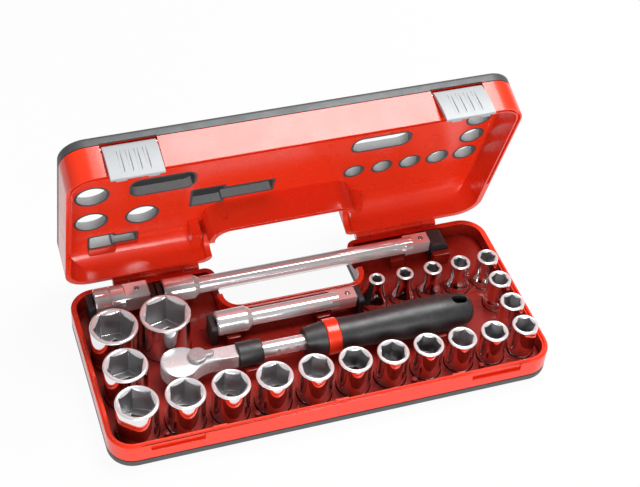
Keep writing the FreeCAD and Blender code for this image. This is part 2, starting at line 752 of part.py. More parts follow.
def bar_holders(moulding):
    """The two blocks in the lid that close over the long bar beside the hand notch."""
    blocks = []
    low = LONG_BAR_Z + BAR_SHAFT_OD / 2 + HOLDER_GAP
    near = NOTCH_HALF_WIDTH + WALL + HOLDER_OFF
    for side in (-1, 1):
        x0 = min(side * near, side * (near + HOLDER_WIDTH))
        block = box(x0, x0 + HOLDER_WIDTH, LONG_BAR_Y - HOLDER_DEPTH / 2, LONG_BAR_Y + HOLDER_DEPTH / 2,
                    low, PANEL_FACE)
        blocks.append(block.cut(moulding))
    return Part.makeCompound(blocks)


def latch_pin(side):
    """The pin that a latch turns on, held in the lid at both ends."""
    half = LATCH_WIDTH / 2 + LATCH_PIN_BITE
    return rod(LATCH_PIN_RADIUS, side * LATCH_X - half, side * LATCH_X + half, LATCH_PIVOT_Y, LATCH_TOP)


def lid_bed():
    """The room between the lid's walls that its inner panel and cove take up."""
    return footprint(WALL, PANEL_FACE - LID_COVE, PANEL_FACE + LID_PANEL)


def notch_room():
    """The room that the lid's straight back wall takes up, with its hinge and the hand notch."""
    half = NOTCH_HALF_WIDTH + WALL + NOTCH_SEAM
    notch = box(-half, half, NOTCH_EDGE - WALL - NOTCH_SEAM, CASE_DEPTH, 0, CASE_HEIGHT)
    end = HINGE_START + 2 * LID_KNUCKLE + BASE_KNUCKLE + NOTCH_SEAM
    back = box(-end, end, BACK_FACE - WALL - NOTCH_SEAM, CASE_DEPTH, 0, CASE_HEIGHT)
    return notch.fuse(back)


def lid_inside():
    """The hollow of the lid, with a wide cove towards the hinge and a small one at the other walls."""
    back = BACK_FACE - WALL
    inside = footprint(WALL, BASE_HEIGHT, PANEL_FACE)
    corner = box(-BEYOND, BEYOND, back - LID_COVE, back, PANEL_FACE - LID_COVE, PANEL_FACE)
    cove = corner.cut(rod(LID_COVE, -BEYOND, BEYOND, back - LID_COVE, PANEL_FACE - LID_COVE))
    x = CASE_LENGTH / 2 - WALL
    front = FRONT_FACE + WALL
    runs = box(-x, x, front, front + LID_SIDE_COVE, PANEL_FACE - LID_SIDE_COVE, PANEL_FACE)
    runs = runs.cut(rod(LID_SIDE_COVE, -x, x, front + LID_SIDE_COVE, PANEL_FACE - LID_SIDE_COVE))
    coves = [cove, runs]
    for side in (-1, 1):
        wall = side * x
        axis = side * (x - LID_SIDE_COVE)
        run = box(min(wall, axis), max(wall, axis), front, back, PANEL_FACE - LID_SIDE_COVE, PANEL_FACE)
        room = Part.makeCylinder(LID_SIDE_COVE, back - front, V(axis, front, PANEL_FACE - LID_SIDE_COVE),
                                 V(0, 1, 0))
        coves.append(run.cut(room))
    return inside.cut(coves)


def lid_moulding():
    """The red lid: double wall, inner panel with window holes, groove and knuckles."""
    low = footprint(0, BASE_HEIGHT, LID_SKIN_EDGE - SKIN_GROOVE)
    high = footprint(SKIN, LID_SKIN_EDGE - SKIN_GROOVE, LID_CROWN)
    solids = [low, high]
    for side in (-1, 1):
        for start in (HINGE_START, HINGE_START + LID_KNUCKLE + BASE_KNUCKLE):
            solids.append(hinge_barrel(side, start, LID_KNUCKLE))
            solids.append(hinge_web(side, start, LID_KNUCKLE, HINGE_Z, HINGE_Z + KNUCKLE_WEB))
    shell = joined(solids)
    hollow = footprint(WALL, PANEL_FACE + LID_PANEL, LID_CROWN)
    cuts = [lid_inside(), hollow]
    cuts.append(tongue_ring(TONGUE_WIDTH + 2 * TONGUE_CLEAR, TONGUE_INSET - TONGUE_CLEAR,
                            BASE_HEIGHT, BASE_HEIGHT + TONGUE_HEIGHT + TONGUE_CLEAR))
    cuts += lip_tabs(TONGUE_CLEAR, BASE_HEIGHT, BASE_HEIGHT + TONGUE_HEIGHT + TAB_RISE + TONGUE_CLEAR)
    slot = bar_slot()
    width = BAR_SHAFT_OD / 2 + BAR_SLOT_CLEAR
    reach = NOTCH_HALF_WIDTH + 2 * WALL
    cuts.append(slot)
    cuts.append(box(-reach, reach, LONG_BAR_Y - width, LONG_BAR_Y + width, BASE_HEIGHT, LONG_BAR_Z))
    for side in (-1, 1):
        cuts.append(hinge_bore(side, HINGE_PIN_RADIUS + PIN_CLEAR))
        cuts.append(latch_recess(side))
        cuts.append(latch_pin(side))
    cuts += flared_windows(LINING)
    cuts += [prism(face, PANEL_FACE - LID_COVE, PANEL_FACE) for face in open_windows(LINING)]
    straight = blind_windows(LINING) + [adapter_window(LINING)]
    cuts += [prism(face, PANEL_FACE - LID_COVE, LID_CROWN) for face in straight]
    return shell.cut(cuts)


def lid_skin():
    """The grey cap over the lid, with linings that pass through the windows of the inner panel."""
    cap = footprint(0, LID_SKIN_EDGE, CASE_HEIGHT)
    cap = cap.makeFillet(SKIN_EDGE_ROUND, bottom_edges(cap, CASE_HEIGHT))
    cap = cap.cut(footprint(SKIN, LID_SKIN_EDGE, LID_CROWN))
    straight = blind_windows(LINING) + [adapter_window(LINING)]
    linings = [prism(face, PANEL_FACE, LID_CROWN + SKIN / 2) for face in straight]
    linings += flared_windows(LINING)
    cuts = flared_windows(0)
    cuts.append(prism(adapter_window(0), BASE_HEIGHT, CASE_HEIGHT + SKIN))
    cuts += [prism(face, BASE_HEIGHT, LID_CROWN) for face in blind_windows(0)]
    cuts += [latch_recess(-1), latch_recess(1)]
    return joined([cap] + linings).cut(cuts)


def latch(side):
    """A latch plate with a bulged, grooved face, a barrel at the top and two hooks below."""
    x0 = side * LATCH_X - LATCH_WIDTH / 2
    inner = FRONT_FACE + LATCH_SINK - LATCH_GAP / 2
    outer = inner - LATCH_PLATE
    middle = (LATCH_TOP + LATCH_BOTTOM) / 2
    bulge = Part.Arc(V(x0, outer, LATCH_BOTTOM), V(x0, outer - LATCH_BULGE, middle),
                     V(x0, outer, LATCH_TOP))
    points = [V(x0, outer, LATCH_TOP), V(x0, inner, LATCH_TOP), V(x0, inner, LATCH_BOTTOM),
              V(x0, outer, LATCH_BOTTOM)]
    edges = [Part.LineSegment(a, b).toShape() for a, b in zip(points, points[1:])]
    plate = Part.Face(Part.Wire(edges + [bulge.toShape()])).extrude(V(LATCH_WIDTH, 0, 0))
    barrel = rod(LATCH_BARREL, x0, x0 + LATCH_WIDTH, LATCH_PIVOT_Y, LATCH_TOP)
    solids = [plate, barrel]
    for i in (-1, 1):
        x = side * LATCH_X + i * LATCH_TAB_SPACING / 2
        solids.append(box(x - LATCH_TAB_WIDTH / 2, x + LATCH_TAB_WIDTH / 2, outer, inner + LATCH_HOOK,
                          LATCH_BOTTOM, LATCH_BOTTOM + LATCH_HOOK_HEIGHT))
    body = joined(solids)
    cuts = [rod(LATCH_PIN_RADIUS + PIN_CLEAR, x0, x0 + LATCH_WIDTH, LATCH_PIVOT_Y, LATCH_TOP)]
    face = outer - LATCH_BULGE
    for i in range(LATCH_GROOVES):
        x = side * LATCH_X + (i - (LATCH_GROOVES - 1) / 2) * LATCH_GROOVE_PITCH
        half = LATCH_GROOVE_WIDTH / 2
        cuts.append(box(x - half, x + half, face - LATCH_PLATE, face + LATCH_GROOVE_DEPTH,
                        LATCH_BOTTOM, LATCH_TOP))
    return body.cut(cuts)


def opened(solid):
    """A piece of the closed lid, swung to the open position."""
    solid.rotate(V(0, HINGE_Y, HINGE_Z), V(1, 0, 0), -LID_OPEN_DEG)
    return solid


def swung_latch(side, degrees):
    """A latch let out from its hooked position, on the open lid."""
    solid = latch(side)
    solid.rotate(V(0, LATCH_PIVOT_Y, LATCH_TOP), V(1, 0, 0), -degrees)
    return opened(solid)


# Extension bars and the drive adapter

def ball_seat(depth_from):
    """The blind hole for a detent ball under a flat face at a height."""
    radius = BALL_RADIUS + BALL_CLEAR
    return post(radius, 0, 0, depth_from + BALL_PROUD - 2 * BALL_RADIUS - BALL_CLEAR, depth_from)


def tang(across, x0, x1, y, z):
    """A drive square along X with a bevelled end."""
    half = across / 2
    solid = box(x0, x1, y - half, y + half, z - half, z + half)
    edges = [e for e in solid.Edges if e.BoundBox.XMin > x1 - TOUCH]
    return solid.makeChamfer(TANG_EDGE, edges)


def extension(length, x, y, z):
    """An extension bar: square socket at the left end, shaft, drive square at the right end."""
    end = BAR_END_OD / 2
    shaft = BAR_SHAFT_OD / 2
    foot = length - TANG_LENGTH
    turn = turned([(0, 0), (end - BAR_EDGE, 0), (end, BAR_EDGE), (end, BAR_END_LENGTH),
                   (shaft, BAR_END_LENGTH + BAR_NECK), (shaft, foot - BAR_EDGE),
                   (shaft - BAR_EDGE, foot), (0, foot)])
    bar = joined([laid(turn, x, y, z), tang(DRIVE_SQUARE, x + foot - TANG_LENGTH / 2, x + length, y, z)])
    half = (DRIVE_SQUARE + DRIVE_CLEAR) / 2
    hole = box(x, x + SQUARE_DEPTH, y - half, y + half, z - half, z + half)
    seat = ball_seat(z + DRIVE_SQUARE / 2)
    seat.translate(V(x + length - TANG_LENGTH / 2, y, 0))
    return bar.cut([hole, seat])


def detent_ball(x, y, face):
    """A ball that stands a little out of a flat face."""
    return Part.makeSphere(BALL_RADIUS, V(x, y, face + BALL_PROUD - BALL_RADIUS))


def drive_adapter():
    """A step-up adapter: round body with a square socket, larger drive square at the right."""
    end = ADAPTER_OD / 2
    middle = ADAPTER_BODY / 2
    half_groove = ADAPTER_GROOVE / 2
    turn = turned([(0, 0), (end - BAR_EDGE, 0), (end, BAR_EDGE), (end, middle - half_groove),
                   (end - BAR_EDGE, middle), (end, middle + half_groove), (end, ADAPTER_BODY - BAR_EDGE),
                   (end - BAR_EDGE, ADAPTER_BODY), (0, ADAPTER_BODY)])
    x1 = ADAPTER_X + ADAPTER_BODY
    square = tang(ADAPTER_SQUARE, x1 - BAR_EDGE, x1 + ADAPTER_TANG, ADAPTER_Y, ADAPTER_Z)
    round_off = rod(end, x1 - BAR_EDGE, x1 + ADAPTER_TANG, ADAPTER_Y, ADAPTER_Z)
    body = joined([laid(turn, ADAPTER_X, ADAPTER_Y, ADAPTER_Z), square.common(round_off)])
    half = (DRIVE_SQUARE + DRIVE_CLEAR) / 2
    hole = box(ADAPTER_X, ADAPTER_X + SQUARE_DEPTH, ADAPTER_Y - half, ADAPTER_Y + half,
               ADAPTER_Z - half, ADAPTER_Z + half)
    seat = ball_seat(ADAPTER_Z + ADAPTER_SQUARE / 2)
    seat.translate(V(x1 + ADAPTER_TANG / 2, ADAPTER_Y, 0))
    return body.cut([hole, seat])


# Telescopic ratchet

def gear_face(grow):
    """The outline of the ratchet gear about the origin, with room around its teeth."""
    points = []
    for i in range(GEAR_TEETH):
        for share, radius in ((0.0, GEAR_RADIUS - TOOTH_HEIGHT), (0.5, GEAR_RADIUS)):
            angle = 2 * math.pi * (i + share) / GEAR_TEETH
            points.append(V((radius + grow) * math.cos(angle), (radius + grow) * math.sin(angle), 0))
    return Part.Face(Part.makePolygon(points + points[:1]))


def ratchet_gear():
    """The toothed wheel with its neck and drive square, pointing down."""
    wheel = prism(gear_face(0), RATCHET_Z - GEAR_HALF_HEIGHT, RATCHET_Z + GEAR_HALF_HEIGHT)
    neck = post(ANVIL_NECK_RADIUS, 0, 0, HEAD_BOTTOM - 2 * ANVIL_GAP, RATCHET_Z)
    square = polygon_prism(DRIVE_SQUARE, 4, HEAD_BOTTOM - ANVIL_LENGTH, HEAD_BOTTOM - ANVIL_GAP)
    tip = bottom_edges(square, HEAD_BOTTOM - ANVIL_LENGTH)
    square = square.makeChamfer(TANG_EDGE, tip)
    gear = joined([wheel, neck, square])
    seat = ball_seat(DRIVE_SQUARE / 2)
    seat.rotate(V(0, 0, 0), V(1, 0, 0), 90)
    seat.translate(V(0, 0, HEAD_BOTTOM - ANVIL_LENGTH / 2))
    gear = gear.cut(seat)
    gear.translate(V(HEAD_X, RATCHET_Y, 0))
    return gear


def head_outline():
    """The teardrop seen from above: a round head that flows into the neck."""
    swing = HEAD_RADIUS + NECK_BLEND
    rise = NECK_HALF_WIDTH + NECK_BLEND
    run = math.sqrt(swing ** 2 - rise ** 2)
    share = HEAD_RADIUS / swing
    meet = V(run * share, rise * share, 0)
    flat = V(run, NECK_HALF_WIDTH, 0)
    turn = (math.atan2(meet.y - rise, meet.x - run) + math.atan2(flat.y - rise, flat.x - run)) / 2
    waist = V(run + NECK_BLEND * math.cos(turn), rise + NECK_BLEND * math.sin(turn), 0)
    end = NECK_END_X - HEAD_X

    def mirrored(p):
        return V(p.x, -p.y, 0)
    edges = [Part.Arc(meet, V(-HEAD_RADIUS, 0, 0), mirrored(meet)).toShape(),
             Part.Arc(mirrored(meet), mirrored(waist), mirrored(flat)).toShape(),
             Part.LineSegment(mirrored(flat), V(end, -NECK_HALF_WIDTH, 0)).toShape(),
             Part.LineSegment(V(end, -NECK_HALF_WIDTH, 0), V(end, NECK_HALF_WIDTH, 0)).toShape(),
             Part.LineSegment(V(end, NECK_HALF_WIDTH, 0), flat).toShape(),
             Part.Arc(flat, waist, meet).toShape()]
    return Part.Face(Part.Wire(edges))


def ratchet_head():
    """The head forging: crowned teardrop with the gear chamber, pawl chamber and lever bore."""
    end = NECK_END_X - HEAD_X
    plan = prism(head_outline(), -HEAD_HALF_HEIGHT, HEAD_HALF_HEIGHT)
    rims = [e for e in plan.Edges if e.BoundBox.ZLength < TOUCH and e.BoundBox.XMin < end - TOUCH]
    plan = plan.makeFillet(HEAD_EDGE, rims)
    slope = HEAD_RADIUS + LEVER_DISC_RADIUS
    half = HEAD_HALF_HEIGHT
    neck = NECK_HALF_WIDTH
    flat = end - NECK_FLAT
    side = [V(-HEAD_RADIUS, 0, -half), V(slope, 0, -half), V(flat, 0, -neck), V(end, 0, -neck),
            V(end, 0, neck), V(flat, 0, neck), V(slope, 0, half), V(-HEAD_RADIUS, 0, half)]
    profile = Part.Face(Part.makePolygon(side + side[:1])).extrude(V(0, 2 * HEAD_RADIUS, 0))
    profile.translate(V(0, -HEAD_RADIUS, 0))
    body = plan.common(profile)
    body.translate(V(HEAD_X, RATCHET_Y, RATCHET_Z))
    crown = rod(HEAD_CROWN_RADIUS, HEAD_X - 2 * HEAD_RADIUS, NECK_END_X + HEAD_RADIUS, RATCHET_Y,
                HEAD_TOP - HEAD_CROWN_RADIUS)
    body = body.common(crown)
    chamber = GEAR_RADIUS + GEAR_CLEAR
    roof = RATCHET_Z + GEAR_HALF_HEIGHT + GEAR_CLEAR
    cuts = [post(chamber, HEAD_X, RATCHET_Y, HEAD_BOTTOM, roof)]
    cuts.append(post(PAWL_RADIUS + PAWL_ROOM, LEVER_X, RATCHET_Y, HEAD_BOTTOM + COVER_PLATE, roof))
    cuts.append(post(LEVER_POST_RADIUS + PIN_CLEAR, LEVER_X, RATCHET_Y, RATCHET_Z, HEAD_TOP))
    return body.cut(cuts)


def ratchet_cover():
    """The ring that closes the gear chamber from below and carries the anvil's neck."""
    chamber = GEAR_RADIUS + GEAR_CLEAR
    plate = post(chamber, HEAD_X, RATCHET_Y, HEAD_BOTTOM, HEAD_BOTTOM + COVER_PLATE)
    return plate.cut(post(ANVIL_NECK_RADIUS + ANVIL_NECK_CLEAR, HEAD_X, RATCHET_Y,
                          HEAD_BOTTOM, HEAD_BOTTOM + COVER_PLATE))


def ratchet_pawl():
    """The rocking pawl: a round block, drawn as its toothed face rides over the tips of the gear."""
    low = RATCHET_Z - GEAR_HALF_HEIGHT
    high = RATCHET_Z + GEAR_HALF_HEIGHT
    block = post(PAWL_RADIUS, PAWL_OFFSET, 0, low, high)
    room = prism(gear_face(TOOTH_HEIGHT + GEAR_CLEAR / 2), low, high)
    cuts = [post(LEVER_POST_RADIUS + PIN_CLEAR, PAWL_OFFSET, 0, low, high)]
    for i in range(-PAWL_ROCK_STEPS, PAWL_ROCK_STEPS + 1):
        rocked = room.copy()
        rocked.rotate(V(PAWL_OFFSET, 0, 0), V(0, 0, 1), PAWL_ROCK_DEG * i / PAWL_ROCK_STEPS)
        cuts.append(rocked)
    pawl = block.cut(cuts)
    pawl.translate(V(HEAD_X, RATCHET_Y, 0))
    return pawl


def reverser_lever():
    """The reversing lever: a disc with a thumb tip and a post that passes through the pawl."""
    low = HEAD_TOP + LEVER_LIFT
    disc = post(LEVER_DISC_RADIUS, 0, 0, low, low + LEVER_THICKNESS)
    reach = LEVER_LENGTH - LEVER_TIP_RADIUS
    tip = post(LEVER_TIP_RADIUS, reach, 0, low, low + LEVER_THICKNESS)
    arm = box(0, reach, -LEVER_TIP_RADIUS, LEVER_TIP_RADIUS, low, low + LEVER_THICKNESS)
    stem = post(LEVER_POST_RADIUS, 0, 0, RATCHET_Z - GEAR_HALF_HEIGHT, low + LEVER_THICKNESS / 2)
    lever = joined([disc, tip, arm, stem])
    rims = bottom_edges(lever, low + LEVER_THICKNESS)
    lever = lever.makeFillet(LEVER_EDGE, rims)
    lever.translate(V(LEVER_X, RATCHET_Y, 0))
    return lever


def telescopic_shaft():
    """The sliding stem with its row of index notches on the lower front."""
    shaft = rod(SHAFT_RADIUS, NECK_END_X, SHAFT_END_X, RATCHET_Y, RATCHET_Z)
    cuts = []
    for i in range(SHAFT_NOTCHES):
        x = NECK_END_X + SHAFT_NOTCH_START + i * SHAFT_NOTCH_PITCH
        depth = SHAFT_RADIUS - SHAFT_NOTCH_DEPTH
        notch = box(x, x + SHAFT_NOTCH_WIDTH, RATCHET_Y - 2 * SHAFT_RADIUS, RATCHET_Y - depth,
                    RATCHET_Z - SHAFT_RADIUS, RATCHET_Z + SHAFT_RADIUS)
        cuts.append(notch)
    return shaft.cut(cuts)


def shaft_collar():
    """The black stop collar on the stem."""
    outer = rod(COLLAR_RADIUS, COLLAR_X, COLLAR_X + COLLAR_LENGTH, RATCHET_Y, RATCHET_Z)
    rims = [e for e in outer.Edges if e.BoundBox.XLength < TOUCH]
    outer = outer.makeFillet(COLLAR_EDGE, rims)
    bore = rod(SHAFT_RADIUS, NECK_END_X, COLLAR_X + COLLAR_LENGTH, RATCHET_Y, RATCHET_Z)
    neck = box(COLLAR_X, NECK_END_X, RATCHET_Y - NECK_HALF_WIDTH, RATCHET_Y + NECK_HALF_WIDTH,
               RATCHET_Z - NECK_HALF_WIDTH, RATCHET_Z + NECK_HALF_WIDTH)
    return outer.cut([bore, neck])


def lock_sleeve():
    """The black tapered nose of the handle, which slides forward to free the stem."""
    bore = SHAFT_RADIUS + SLIDE_CLEAR
    turn = turned([(bore, 0), (SLEEVE_NOSE_RADIUS, 0),
                   (RING_RADIUS - BAR_EDGE, SLEEVE_LENGTH), (bore, SLEEVE_LENGTH)])
    return laid(turn, SLEEVE_X, RATCHET_Y, RATCHET_Z)


def lock_ring():
    """The red ring behind the sleeve."""
    bore = SHAFT_RADIUS + SLIDE_CLEAR
    outer = rod(RING_RADIUS, RING_X, GRIP_X, RATCHET_Y, RATCHET_Z)
    rims = [e for e in outer.Edges if e.BoundBox.XLength < TOUCH]
    outer = outer.makeFillet(BAR_EDGE, rims)
    return outer.cut(rod(bore, RING_X, GRIP_X, RATCHET_Y, RATCHET_Z))


def ratchet_grip():
    """The soft grip: a waisted handle with a rounded end, a blind bore and a hang hole."""
    rim = GRIP_LENGTH - GRIP_CROWN
    points = [V(RING_RADIUS - BAR_EDGE, 0, 0), V(GRIP_WAIST_RADIUS, 0, GRIP_WAIST_AT),
              V(GRIP_SWELL_RADIUS, 0, GRIP_SWELL_AT), V(GRIP_END_RADIUS, 0, rim)]
    side = Part.BSplineCurve()
    side.interpolate(points)
    crown = Part.BSplineCurve()
    half_turn = math.radians(45)
    shoulder = V(GRIP_END_RADIUS * math.cos(half_turn), 0, rim + GRIP_CROWN * math.sin(half_turn))
    crown.interpolate([points[-1], shoulder, V(0, 0, GRIP_LENGTH)])
    edges = [side.toShape(), crown.toShape(),
             Part.LineSegment(V(0, 0, GRIP_LENGTH), V(0, 0, 0)).toShape(),
             Part.LineSegment(V(0, 0, 0), points[0]).toShape()]
    turn = Part.Face(Part.Wire(edges)).revolve(V(0, 0, 0), V(0, 0, 1), 360)
    grip = laid(turn, GRIP_X, RATCHET_Y, RATCHET_Z)
    bore = rod(SHAFT_RADIUS + SLIDE_CLEAR, GRIP_X, SHAFT_END_X + SLIDE_CLEAR, RATCHET_Y, RATCHET_Z)
    hole_x = GRIP_END_X - HANG_HOLE_INSET - HANG_HOLE_LENGTH / 2
    oval = rounded_rectangle(hole_x, RATCHET_Y, HANG_HOLE_LENGTH, HANG_HOLE_WIDTH, HANG_HOLE_WIDTH / 2)
    hole = prism(oval, 0, CASE_HEIGHT)
    return grip.cut([bore, hole])


def all_parts():
    """Each piece by its name."""
    moulding = lid_moulding()
    walls = moulding.cut(lid_bed())
    parts = {
        "base_skin": base_skin(),
        "base_shell": base_shell(),
        "tool_tray": tool_tray(),
        "tool_cradles": tool_cradles(),
        "pads_long_bar": end_pads(LONG_BAR_X, LONG_BAR_LENGTH, LONG_BAR_Y, LONG_BAR_Z, wide_pad),
        "pads_short_bar": end_pads(SHORT_BAR_X, SHORT_BAR_LENGTH, SHORT_BAR_Y, SHORT_BAR_Z, pad),
        "pads_adapter": end_pads(ADAPTER_X, ADAPTER_BODY + ADAPTER_TANG, ADAPTER_Y, ADAPTER_Z, pad),
        "lid_shell": opened(walls.cut(notch_room())),
        "lid_notch": opened(walls.common(notch_room())),
        "lid_panel": opened(moulding.common(lid_bed())),
        "lid_skin": opened(lid_skin()),
        "bar_holders": opened(bar_holders(moulding)),
        "extension_long": extension(LONG_BAR_LENGTH, LONG_BAR_X, LONG_BAR_Y, LONG_BAR_Z),
        "extension_short": extension(SHORT_BAR_LENGTH, SHORT_BAR_X, SHORT_BAR_Y, SHORT_BAR_Z),
        "drive_adapter": drive_adapter(),
        "ratchet_head": ratchet_head(),
        "ratchet_cover": ratchet_cover(),
        "ratchet_gear": ratchet_gear(),
        "ratchet_pawl": ratchet_pawl(),
        "reverser_lever": reverser_lever(),
        "telescopic_shaft": telescopic_shaft(),
        "shaft_collar": shaft_collar(),
        "lock_sleeve": lock_sleeve(),
        "lock_ring": lock_ring(),
        "ratchet_grip": ratchet_grip(),
    }
    for name, side in (("left", -1), ("right", 1)):
        parts["hinge_pin_" + name] = hinge_pin(side)
        parts["latch_pin_" + name] = opened(latch_pin(side))
        parts["latch_" + name] = swung_latch(side, LATCH_REST_DEG[name])
    long_tip = LONG_BAR_X + LONG_BAR_LENGTH - TANG_LENGTH / 2
    short_tip = SHORT_BAR_X + SHORT_BAR_LENGTH - TANG_LENGTH / 2
    adapter_tip = ADAPTER_X + ADAPTER_BODY + ADAPTER_TANG / 2
    parts["ball_long_bar"] = detent_ball(long_tip, LONG_BAR_Y, LONG_BAR_Z + DRIVE_SQUARE / 2)
    parts["ball_short_bar"] = detent_ball(short_tip, SHORT_BAR_Y, SHORT_BAR_Z + DRIVE_SQUARE / 2)
    parts["ball_adapter"] = detent_ball(adapter_tip, ADAPTER_Y, ADAPTER_Z + ADAPTER_SQUARE / 2)
    anvil_front = RATCHET_Y - DRIVE_SQUARE / 2
    anvil_ball = V(HEAD_X, anvil_front - BALL_PROUD + BALL_RADIUS, HEAD_BOTTOM - ANVIL_LENGTH / 2)
    parts["ball_ratchet"] = Part.makeSphere(BALL_RADIUS, anvil_ball)
    for size in PLACES:
        parts["socket_%02d" % size] = socket(size)
    return parts


def main():
    os.makedirs("parts", exist_ok=True)
    for name, shape in all_parts().items():
        shape.exportStep("parts/" + name + ".step")


main()
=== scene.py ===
"""An open socket set: red case with a grey skin, chrome sockets, bars and a telescopic ratchet."""

import json
import math

import bpy
from mathutils import Matrix, Vector

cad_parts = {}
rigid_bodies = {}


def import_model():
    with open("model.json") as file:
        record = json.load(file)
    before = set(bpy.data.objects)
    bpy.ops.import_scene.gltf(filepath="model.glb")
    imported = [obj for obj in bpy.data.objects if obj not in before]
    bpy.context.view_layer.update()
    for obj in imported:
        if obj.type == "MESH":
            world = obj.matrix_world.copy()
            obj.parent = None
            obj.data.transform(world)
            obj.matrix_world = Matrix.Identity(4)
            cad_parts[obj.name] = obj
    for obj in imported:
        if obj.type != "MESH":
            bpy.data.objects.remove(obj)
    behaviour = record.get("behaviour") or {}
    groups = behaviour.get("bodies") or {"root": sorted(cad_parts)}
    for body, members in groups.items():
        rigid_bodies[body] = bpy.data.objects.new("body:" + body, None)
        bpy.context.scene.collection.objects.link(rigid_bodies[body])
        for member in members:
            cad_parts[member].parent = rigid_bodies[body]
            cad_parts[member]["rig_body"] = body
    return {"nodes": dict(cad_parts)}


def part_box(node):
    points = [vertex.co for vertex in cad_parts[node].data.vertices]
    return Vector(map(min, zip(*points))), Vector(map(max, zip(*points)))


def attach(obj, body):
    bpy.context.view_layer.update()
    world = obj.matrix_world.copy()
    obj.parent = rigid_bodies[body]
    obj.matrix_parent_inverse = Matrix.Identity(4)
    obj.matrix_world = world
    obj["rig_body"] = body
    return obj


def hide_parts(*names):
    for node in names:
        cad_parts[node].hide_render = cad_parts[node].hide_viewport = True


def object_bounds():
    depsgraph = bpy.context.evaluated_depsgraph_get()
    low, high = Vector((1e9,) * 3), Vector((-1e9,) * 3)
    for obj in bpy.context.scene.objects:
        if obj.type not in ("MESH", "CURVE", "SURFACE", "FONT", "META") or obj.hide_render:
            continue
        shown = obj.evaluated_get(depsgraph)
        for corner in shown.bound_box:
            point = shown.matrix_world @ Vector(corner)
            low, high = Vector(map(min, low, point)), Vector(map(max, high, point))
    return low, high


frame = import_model()
CAD_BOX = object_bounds()

# Lengths are in metres
MM = 0.001

# The photograph's frame and the place of its camera, with angles in degrees
PHOTO_WIDTH = 640
FOCAL_PIXELS = 1500
SENSOR = 36.0
CAMERA_TARGET = Vector((38.4, 88.9, 30.0)) * MM
CAMERA_DISTANCE = 1369 * MM
CAMERA_AZIMUTH = -21.8
CAMERA_ELEVATION = 44.87
CAMERA_ROLL = 5.1

# How far edges are eased, and in how many steps
MOULDED_EASE = 0.45 * MM
CHROME_EASE = 0.35 * MM
RUBBER_EASE = 0.8 * MM
SOCKET_EASE = 0.12 * MM
SOCKET_EASE_SHARE = 0.016
PLAIN_STEPS = 2
CHROME_STEPS = 3

# How seams are closed, and which edges count as flat or sharp
WELD = 0.004 * MM
FLAT_ANGLE = math.radians(0.4)
SHARP_ANGLE = math.radians(28)
SMOOTH_ANGLE = math.radians(40)

# Where a socket's rim and inside begin, and how a face's normal tells them
RIM_DEPTH = 2.6 * MM
RIM_TILT = 0.3
UPWARD = 0.5
SOCKET_FLOOR_DEPTH = 5.0 * MM
SOCKET_FLOOR_SHARE = 0.7

# Where the inside of the base begins
WALL_FACE = 4.4 * MM
RIM_FOOT = 22.0 * MM

# How the lid stands, and where its windows and their blind floors begin
LID_OPEN = math.radians(73)
SKIN_STRIP = 14.0 * MM
BLIND_DEPTH = 4.0 * MM
FACING = 0.9

# The part of a pattern's range over which a finish changes
PATTERN_LOW = 0.3
PATTERN_HIGH = 0.7

# Floor and sky
FLOOR_SIZE = 14.0
FLOOR_GLOW = 1.0
FLOOR_GLOW_SHARE = 0.94
SKY_STRENGTH = 0.2

# Colours, as they look under plain light, save those marked below as painted shade, highlight or
# reflection
RED = (0.80, 0.036, 0.009, 1.0)
DEEP_RED = (0.74, 0.028, 0.007, 1.0)
# The tray's two reds are darkened as painted shade, for the shade deep in the tray and between the
# sockets
SHADED_TRAY_RED = (0.31, 0.013, 0.006, 1.0)
SHADED_TRAY_DEEP = (0.26, 0.01, 0.005, 1.0)
SKIN_GREY = (0.048, 0.051, 0.054, 1.0)
SKIN_PALE = (0.066, 0.07, 0.073, 1.0)
# Paler greys for the up-facing window walls, as painted light from above
LIT_LINING_GREY = (0.22, 0.222, 0.225, 1.0)
LIT_LINING_PALE = (0.28, 0.282, 0.285, 1.0)
CHROME = (0.83, 0.84, 0.85, 1.0)
# The next two chrome colours are painted highlight and painted reflection, on the socket rims, bars
# and ratchet head
PAINTED_HIGHLIGHT_WHITE = (0.8, 0.8, 0.81, 1.0)
HEAD_REFLECTION_GREY = (0.6, 0.6, 0.61, 1.0)
SATIN = (0.56, 0.56, 0.57, 1.0)
STEEL = (0.5, 0.5, 0.51, 1.0)
# The lever's grey is a painted reflection
LEVER_REFLECTION_GREY = (0.36, 0.36, 0.37, 1.0)
LATCH_GREY = (0.40, 0.41, 0.42, 1.0)
LATCH_DARK = (0.34, 0.35, 0.36, 1.0)
BLACK = (0.018, 0.018, 0.019, 1.0)
BLACK_PALE = (0.03, 0.03, 0.032, 1.0)
PAPER = (0.6, 0.6, 0.6, 1.0)
WHITE = (1.0, 1.0, 1.0, 1.0)

# Small pieces that keep their CAD shape
STEEL_NODES = (
    "hinge_pin_left", "hinge_pin_right", "latch_pin_left", "latch_pin_right",
    "ball_long_bar", "ball_short_bar", "ball_adapter", "ball_ratchet", "ratchet_pawl",
)


# Materials

